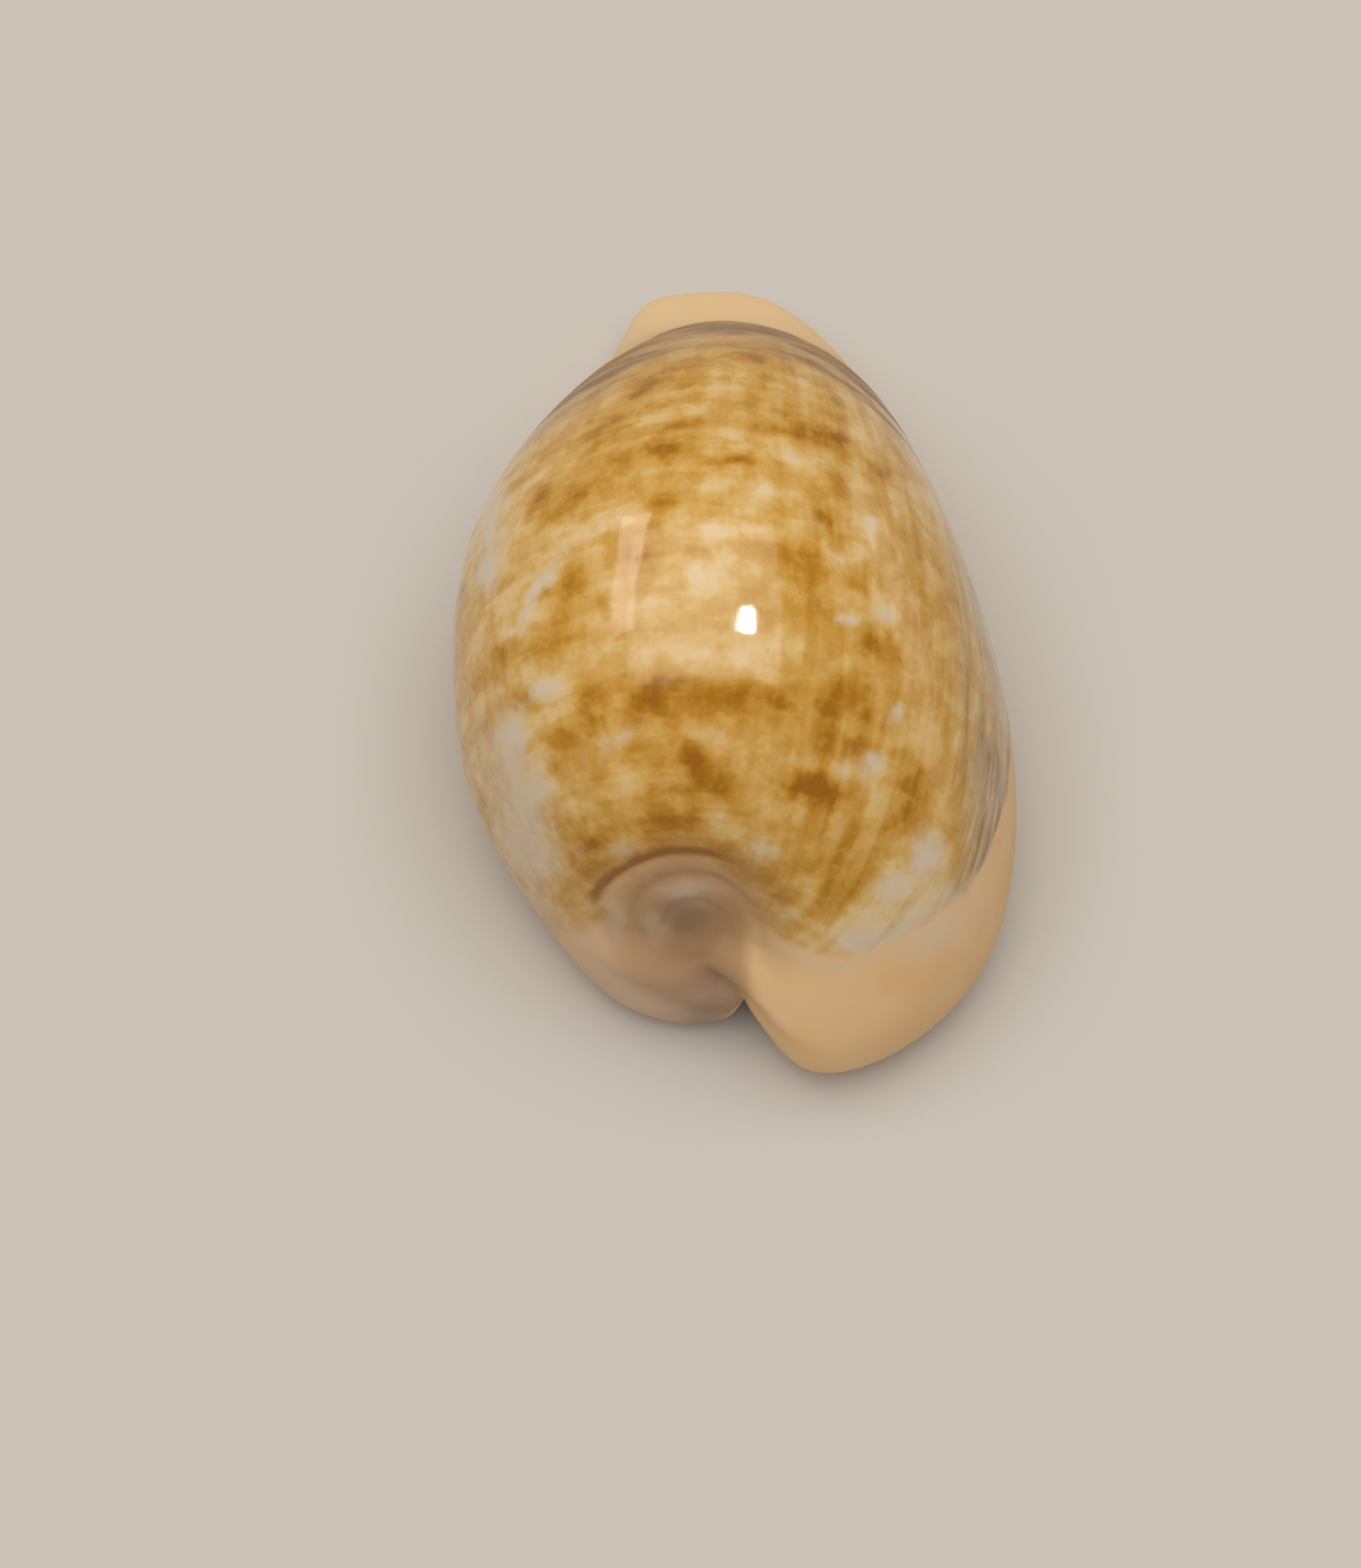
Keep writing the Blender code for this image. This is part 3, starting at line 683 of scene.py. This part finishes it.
def new_group(name, inputs, outputs):
    """An empty node group with the sockets named, its recipe and its input and output nodes."""
    group = bpy.data.node_groups.new(name, "ShaderNodeTree")
    for label, kind, default in inputs:
        socket = group.interface.new_socket(label, in_out="INPUT", socket_type=kind)
        if default is not None:
            socket.default_value = default
    for label, kind in outputs:
        group.interface.new_socket(label, in_out="OUTPUT", socket_type=kind)
    recipe = Recipe(group)
    return group, recipe, recipe.node("NodeGroupInput").outputs, recipe.node("NodeGroupOutput").inputs


FLOAT, VECTOR = "NodeSocketFloat", "NodeSocketVector"

# %% [markdown]
# ## Streaks along the growth of the shell
#
# The mantle lays glaze down in sweeps, so every layer carries faint streaks that run from end to end, and
# the animal's growth leaves fainter ones across them. Both come from noise that is stretched along one of
# the two directions of the skin. Outside and inside share this group.

# %% The streaks group
streaks_group, r, given, made = new_group(
    "growth_streaks",
    [("Flow", VECTOR, None), ("Fineness", FLOAT, 1.0)],
    [("Along", FLOAT), ("Across", FLOAT)],
)
flow_scaled = r.node("ShaderNodeVectorMath", operation="SCALE")
r.feed(flow_scaled.inputs[0], given["Flow"])
r.feed(flow_scaled.inputs["Scale"], given["Fineness"])
long_streaks = r.cloud(r.stretched(flow_scaled.outputs[0], (1, 0.12, 1)), 0.8, 2)
cross_streaks = r.cloud(r.stretched(flow_scaled.outputs[0], (0.15, 1, 1), (7, 3, 0)), 0.7, 3)
r.feed(made["Along"], long_streaks)
r.feed(made["Across"], cross_streaks)
print(streaks_group.name, "has", len(streaks_group.nodes), "nodes")

# %% [markdown]
# ## A soft edge that wanders
#
# Glaze has no hard edges: a blotch fades over about a millimetre, along a line that wanders. This group
# takes any stored amount, shakes it with a cloud and turns it into a mask.

# %% The wandering edge group
edge_group, r, given, made = new_group(
    "wandering_edge",
    [
        ("Amount", FLOAT, 0.0), ("Place", VECTOR, None), ("Size", FLOAT, 0.5), ("Shake", FLOAT, 0.4),
        ("From", FLOAT, 0.2), ("To", FLOAT, 0.7),
    ],
    [("Mask", FLOAT)],
)
shaken = r.maths("SUBTRACT", r.cloud(given["Place"], given["Size"], 3, 0.55), 0.5)
shaken = r.maths("MULTIPLY_ADD", shaken, given["Shake"], given["Amount"])
r.feed(made["Mask"], r.between(shaken, given["From"], given["To"]))
print(edge_group.name, "has", len(edge_group.nodes), "nodes")

# %% [markdown]
# ## Skin of the glaze
#
# Even a polished cowrie isn't a mirror: its reflections swim a little, because the layers below are not
# quite even. A low, wide bump does that, and a much finer one roughens the highlight's rim.

# %% The uneven glaze group
uneven_group, r, given, made = new_group(
    "uneven_glaze",
    [("Place", VECTOR, None), ("Streaks", FLOAT, 0.5)],
    [("Height", FLOAT), ("Roughness", FLOAT)],
)
swell = r.cloud(given["Place"], 0.16, 1)
grain = r.cloud(given["Place"], 2.2, 2)
height = r.maths("MULTIPLY_ADD", grain, 0.03, swell)
height = r.maths("MULTIPLY_ADD", given["Streaks"], 0.12, height)
r.feed(made["Height"], height)
r.feed(made["Roughness"], r.between(r.cloud(given["Place"], 0.6, 3), 0.3, 0.7, 0.06, 0.1))
BUMP_HEIGHT = 0.0004  # metres, at full strength
print(uneven_group.name, "has", len(uneven_group.nodes), "nodes")

# %% [markdown]
# ## The glazed outside
#
# From the bottom up: a cream ground, caramel and dark brown blotches, milky patches over them, the
# streaked border zone, then the plain apricot callus round it, the tones of the lobes and the pit with
# painted shade and painted light laid over them, the spire's rings, and last the lilac that shows where the
# lips turn inwards. One number, the brownness, runs through a row of colours; mixing brown paint over
# cream instead would give muddy half tones.

# %% Colours of the shell, as linear light
PATTERN_COLOURS = [
    (0, (0.76, 0.55, 0.3)), (0.2, (0.72, 0.47, 0.18)), (0.36, (0.66, 0.385, 0.1)),
    (0.62, (0.56, 0.275, 0.035)), (0.85, (0.41, 0.165, 0.006)), (1, (0.34, 0.12, 0.004)),
]
MILKY_WHITE = (0.67, 0.54, 0.39)
BORDER_GREY = (0.42, 0.2, 0.025)
# the front border's dark streaks: partly their own olive, partly painted shade
BORDER_OLIVE_AND_SHADE = (0.2, 0.07, 0.001)
BORDER_PALE = (0.6, 0.45, 0.3)
FLANK_GREY = (0.39, 0.3, 0.2)
FLANK_BROWN = (0.27, 0.15, 0.04)
APRICOT = (0.79, 0.475, 0.2)
BASE_CREAM = (0.8, 0.52, 0.26)
# the pit's rose: partly its own tone, partly painted shade
PIT_ROSE_AND_SHADE = (0.37, 0.19, 0.075)
LOBE_PINK = (0.61, 0.45, 0.34)
# the front rim's own cream, also laid as painted light on the ridge beside the notch
RIM_CREAM = (0.84, 0.57, 0.29)
RING_BROWN = (0.29, 0.1, 0.01)
# painted shade: the grey laid on the pit's middle, the notch and the left lobe's side
PAINTED_SHADE_GREY = (0.2, 0.125, 0.085)
INSIDE_LILAC = (0.55, 0.42, 0.38)

# %% Build the outside material
PLAIN_BROWNNESS = 0.37  # where no mark lies; 0 is the cream ground and 1 the darkest brown
BROWN_STRENGTH = 0.48
MILK_LIGHTENS = -0.3

glazed = bpy.data.materials.new("glazed_shell")
glazed.use_nodes = True
r = Recipe(glazed.node_tree)
principled = glazed.node_tree.nodes["Principled BSDF"]
place = r.stored("place", "Vector")
glaze_depth = r.stored("glaze")
streaks = r.use(streaks_group, Flow=r.stored("flow", "Vector"))

to_the_right = r.stored("to_right")
along_strokes = r.between(streaks["Along"], 0.36, 0.64, -0.5, 0.5)
along_strokes = r.maths("MULTIPLY", along_strokes, r.maths("ADD", to_the_right, 0.3))
cross_strokes = r.between(streaks["Across"], 0.36, 0.64, -0.5, 0.5)
cross_strokes = r.maths("MULTIPLY", cross_strokes, r.maths("SUBTRACT", 1.3, to_the_right))
wide_clouds = r.between(r.cloud(place, 0.1, 2), 0.3, 0.7, -0.5, 0.5)
small_clouds = r.between(r.cloud(place, 0.33, 3), 0.38, 0.62, -0.5, 0.5)
grains = r.maths("SUBTRACT", r.cloud(place, 1.3, 4), 0.5)

brownness = r.maths("MULTIPLY_ADD", r.stored("brown"), BROWN_STRENGTH, PLAIN_BROWNNESS)
brownness = r.maths("MULTIPLY_ADD", r.stored("milky"), MILK_LIGHTENS, brownness)
for field, amount in (
    (along_strokes, 0.18), (cross_strokes, 0.16), (wide_clouds, 0.2), (small_clouds, 0.24), (grains, 0.26),
):
    brownness = r.maths("MULTIPLY_ADD", field, amount, brownness)
pattern = r.ramp(brownness, PATTERN_COLOURS)
milk = r.use(edge_group, Amount=r.stored("milky"), Place=place, Size=0.7, Shake=0.8, From=0.05, To=1.0)
pattern = r.mixed(milk["Mask"], pattern, MILKY_WHITE)
print("the pattern takes", len(glazed.node_tree.nodes), "nodes")

# %% [markdown]
# ## Streaks at the border
#
# Near its border the pattern thins into streaks: dark under the front rim, grey along the right margin,
# pale above the lobes. Under the front rim the darkness is partly the streaks' own olive and partly painted
# shade, where the back turns away from the light. The streaks run across the growth in front and along it
# at the side, so we choose the direction by a stored number. In front the border itself is shaken by the
# streaks, which frays it.

# %% Streak the border
frontness = r.stored("frontness")
border_streaks = r.between(streaks["Along"], 0.42, 0.62)
front_streaks = r.between(streaks["Across"], 0.4, 0.62)
border_colour = r.mixed(front_streaks, BORDER_OLIVE_AND_SHADE, BORDER_GREY)
border_colour = r.mixed(frontness, r.mixed(border_streaks, BORDER_PALE, FLANK_GREY), border_colour)
shaken_depth = r.maths("MULTIPLY_ADD", r.maths("SUBTRACT", streaks["Across"], 0.5), 12, glaze_depth)
side_border = r.maths("MULTIPLY", r.between(glaze_depth, 0.3, 6, 1, 0), r.between(frontness, 0, 1, 0.4, 0.7))
# the front border, where the dark streaks carry painted shade as well as their own colour
front_border = r.maths("MULTIPLY", r.between(shaken_depth, 3, 10, 0.88, 0), r.stored("front_slope"))
border = r.maths("MAXIMUM", side_border, front_border)
border = r.maths("MULTIPLY", border, r.between(r.stored("pit_near"), 0.1, 0.6, 1, 0))
pattern = r.mixed(border, pattern, border_colour)
thin = r.use(streaks_group, Flow=r.stored("flow", "Vector"), Fineness=2.6)["Along"]
flank_lines = [(0.38, FLANK_BROWN), (0.46, FLANK_GREY), (0.56, FLANK_GREY), (0.64, BORDER_PALE)]
flank_colour = r.ramp(thin, flank_lines)
flank = r.maths("MULTIPLY", r.stored("flank"), r.between(streaks["Along"], 0.36, 0.56, 0.2, 0.75))
pattern = r.mixed(flank, pattern, flank_colour)
print("with its border", len(glazed.node_tree.nodes), "nodes")

# %% [markdown]
# ## The callus, the lobes and the pit
#
# Where the mantle's edges rested, the shell stays plain apricot. Over that go the layers stored on the
# vertices, one thin layer of colour each: the cream of the front rim, the pink of the lobe, the pit's rose,
# which is partly painted shade, the painted shade of the pit's middle, the notch and the lobe's side, the
# painted light on the ridge beside the notch, and the pale marks. The same order of layers could be
# painted by hand on an image, but an image would tie the shell to one set of texture coordinates.

# %% Colour what lies outside the pattern
callus = r.mixed(r.between(r.cloud(place, 0.12, 2), 0.35, 0.65), APRICOT, BASE_CREAM)
glaze_edge = r.use(edge_group, Amount=glaze_depth, Place=place, Size=0.3, Shake=2.5, From=-1.0, To=0.8)
inside_glaze = glaze_edge["Mask"]
colour = r.mixed(inside_glaze, callus, pattern)
# the grey layer here is painted shade and the cream on the ridge is painted light; the pit's rose is partly
# painted shade
for name, strength, layer in (
    ("front_rim", 0.8, RIM_CREAM), ("lobe", 0.7, LOBE_PINK), ("pit_rose_and_shade", 0.75, PIT_ROSE_AND_SHADE), ("painted_shade", 0.65, PAINTED_SHADE_GREY),
    ("lit_ridge", 0.7, RIM_CREAM), ("pale", 0.7, MILKY_WHITE),
):
    colour = r.mixed(r.maths("MULTIPLY", r.stored(name), strength), colour, layer)
rings = r.use(edge_group, Amount=r.stored("ring"), Place=place, Size=0.45, Shake=0.9, From=0.1, To=1.1)
colour = r.mixed(r.maths("MULTIPLY", rings["Mask"], 0.85), colour, RING_BROWN)
colour = r.mixed(r.stored("inward"), colour, INSIDE_LILAC)
r.feed(principled.inputs["Base Color"], colour)
print("with the callus", len(glazed.node_tree.nodes), "nodes")

# %% [markdown]
# ## Gloss
#
# The pattern has the full gloss, the callus and the front border are satin, and the pit is almost dull. A
# second clear coat would double every highlight, so the coat stays thin and the roughness does the work.

# %% Make it glossy
GLAZE_IOR = 1.34
DULL_CALLUS = 0.42  # roughness added where there is no glaze
THIN_COAT = 0.12

uneven = r.use(uneven_group, Place=place, Streaks=streaks["Along"])
satin = r.maths("MULTIPLY", inside_glaze, r.between(glaze_depth, 0, 3, 0.35, 1))
satin = r.maths("MULTIPLY", satin, r.maths("SUBTRACT", 1, r.maths("MULTIPLY", front_border, 0.7)))
satin = r.maths("MULTIPLY", satin, r.between(r.stored("pit_near"), 0.1, 0.7, 1, 0.15))
dullness = r.between(satin, 0, 1, DULL_CALLUS, 0)
r.feed(principled.inputs["Roughness"], r.maths("ADD", uneven["Roughness"], dullness))
r.feed(principled.inputs["Coat Weight"], r.maths("MULTIPLY", satin, THIN_COAT))
bump = r.node("ShaderNodeBump")
bump.inputs["Strength"].default_value = 0.25
bump.inputs["Distance"].default_value = BUMP_HEIGHT
r.feed(bump.inputs["Height"], uneven["Height"])
r.feed(principled.inputs["Normal"], bump.outputs["Normal"])
principled.inputs["IOR"].default_value = GLAZE_IOR
principled.inputs["Coat Roughness"].default_value = 0.02  # the coat is smoother than the glaze under it
print("the glaze takes", len(glazed.node_tree.nodes), "nodes")

# %% [markdown]
# ## The hollow inside
#
# Nothing polishes the inner wall twice, so it is paler, duller and plain, with the growth streaks
# showing.

# %% Build the inside material
inner_wall = bpy.data.materials.new("inner_wall")
inner_wall.use_nodes = True
r = Recipe(inner_wall.node_tree)
principled = inner_wall.node_tree.nodes["Principled BSDF"]
place = r.stored("place", "Vector")
streaks = r.use(streaks_group, Flow=r.stored("flow", "Vector"), Fineness=0.6)
wall_colour = r.mixed(r.between(streaks["Across"], 0.35, 0.65), INSIDE_LILAC, BASE_CREAM)
r.feed(principled.inputs["Base Color"], wall_colour)
uneven = r.use(uneven_group, Place=place, Streaks=streaks["Across"])
r.feed(principled.inputs["Roughness"], r.maths("ADD", uneven["Roughness"], 0.2))
bump = r.node("ShaderNodeBump")
bump.inputs["Strength"].default_value = 0.3
bump.inputs["Distance"].default_value = BUMP_HEIGHT
r.feed(bump.inputs["Height"], uneven["Height"])
r.feed(principled.inputs["Normal"], bump.outputs["Normal"])

for material in (glazed, inner_wall):
    mesh.materials.append(material)
in_hollow = past_lip > ROUNDING_SHARE + WALL_SHARE
face_material = [int(all(in_hollow[index] for index in face.vertices)) for face in mesh.polygons]
mesh.polygons.foreach_set("material_index", face_material)
print(sum(face_material), "faces of the inner wall")

# %% [markdown]
# ## The shell takes the frame's place
#
# The frame holds a plain solid of the same form for weight and contact. The dressed skin stands for it.

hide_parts("shell")
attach(shell, "root")
print(shell.name, "stands for the solid named shell")

# %% [markdown]
# ## The camera
#
# The shell lies on its base with its rear end towards us, and we look down on it rather steeply, so that
# the back, the pit and both lobes show. A fairly long lens keeps the ends from looming.

# %% Place the camera
AIM = Vector((-0.00587, -0.01762, 0.01198))
DISTANCE = 0.3326
LENS = 71.8  # millimetres
ROLL = math.radians(0.5)

towards_camera = Vector((0, -math.cos(SEEN_FROM), math.sin(SEEN_FROM)))
camera_data = bpy.data.cameras.new("camera")
camera_data.lens = LENS
camera = bpy.data.objects.new("camera", camera_data)
camera.location = AIM + towards_camera * DISTANCE
turned = towards_camera.to_track_quat("Z", "Y").to_matrix().to_4x4() @ Matrix.Rotation(ROLL, 4, "Z")
camera.rotation_euler = turned.to_euler()
bpy.context.scene.collection.objects.link(camera)
bpy.context.scene.camera = camera
print("the camera stands at", [round(c, 3) for c in camera.location])

# %% [markdown]
# ## A plain studio
#
# A pale floor, an even surround, one broad soft lamp overhead and a small one. The small lamp gives the
# crisp window that tells the eye "glazed". To put its reflection on the crest, we mirror the line of
# sight in the surface there and hang the lamp on the mirrored line. Two dim strips are hung the same way.
# All three show only as reflections, so the floor and the colours see nothing but the broad lamp and the
# surround.

# %% Floor and surround
FLOOR_HALF = 3  # metres
FLOOR_COLOUR = (0.6, 0.55, 0.48)
SURROUND_STRENGTH = 0.32

floor_mesh = bpy.data.meshes.new("floor")
corners = [(x * FLOOR_HALF, y * FLOOR_HALF, 0) for x, y in ((-1, -1), (1, -1), (1, 1), (-1, 1))]
floor_mesh.from_pydata(corners, [], [(0, 1, 2, 3)])
floor = bpy.data.objects.new("floor", floor_mesh)
bpy.context.scene.collection.objects.link(floor)
floor_material = bpy.data.materials.new("floor_paper")
floor_material.use_nodes = True
floor_finish = floor_material.node_tree.nodes["Principled BSDF"]
floor_finish.inputs["Base Color"].default_value = (*FLOOR_COLOUR, 1)
floor_finish.inputs["Roughness"].default_value = 0.9
floor_finish.inputs["Specular IOR Level"].default_value = 0
floor_mesh.materials.append(floor_material)
print("the floor is", 2 * FLOOR_HALF, "m wide")

surround = bpy.data.worlds.new("surround")
surround.use_nodes = True
background = surround.node_tree.nodes["Background"]
background.inputs["Color"].default_value = (1, 1, 1, 1)
background.inputs["Strength"].default_value = SURROUND_STRENGTH
bpy.context.scene.world = surround


# %% Lamps
def lamp(name, location, target, size, power):
    """A rectangular lamp that faces its target."""
    light = bpy.data.lights.new(name, "AREA")
    light.shape = "RECTANGLE"
    light.size, light.size_y = size
    light.energy = power
    holder = bpy.data.objects.new(name, light)
    holder.location = location
    back = (Vector(location) - Vector(target)).normalized()
    side = Vector((0, 1, 0)).cross(back).normalized()
    holder.rotation_euler = Matrix((side, back.cross(side), back)).transposed().to_euler()
    bpy.context.scene.collection.objects.link(holder)
    return holder


BROAD_LAMP_FROM_SHELL = Vector((-0.08, 0.0, 1.2))
middle_of_shell = Vector(((box_low + box_high) / 2).tolist())
lamp("broad_lamp", middle_of_shell + BROAD_LAMP_FROM_SHELL, middle_of_shell, size=(1.5, 1.5), power=15)


def mirrored_lamp(name, seen_at, away, size, power):
    """A lamp that the camera sees reflected at one place on the shell, given as x, w like the marks."""
    turned_away = facing_camera < 0.2
    near = np.hypot(skin_x - seen_at[0], view_w - seen_at[1]) + 100 * turned_away
    vertex = mesh.vertices[int(np.argmin(near))]
    sight = (camera.location - vertex.co).normalized()
    mirrored = 2 * vertex.normal.dot(sight) * vertex.normal - sight
    print(name, "hangs towards", [round(c, 2) for c in mirrored])
    holder = lamp(name, vertex.co + mirrored * away, vertex.co, size, power)
    holder.visible_diffuse = False
    holder.visible_camera = False


normals = np.array([vertex.normal[:] for vertex in mesh.vertices])
facing_camera = normals @ np.array(towards_camera)
for name, seen_at, away, size, power in (
    ("small_lamp", (1.9, 3.9), 0.6, (0.06, 0.1), 1.6),
    ("left_strip", (-11, 9), 0.7, (0.15, 0.6), 1.5),
    ("right_strip", (20, 2), 0.7, (0.34, 0.9), 0.9),
):
    mirrored_lamp(name, seen_at, away, size, power)

bpy.context.scene.view_settings.view_transform = "Standard"
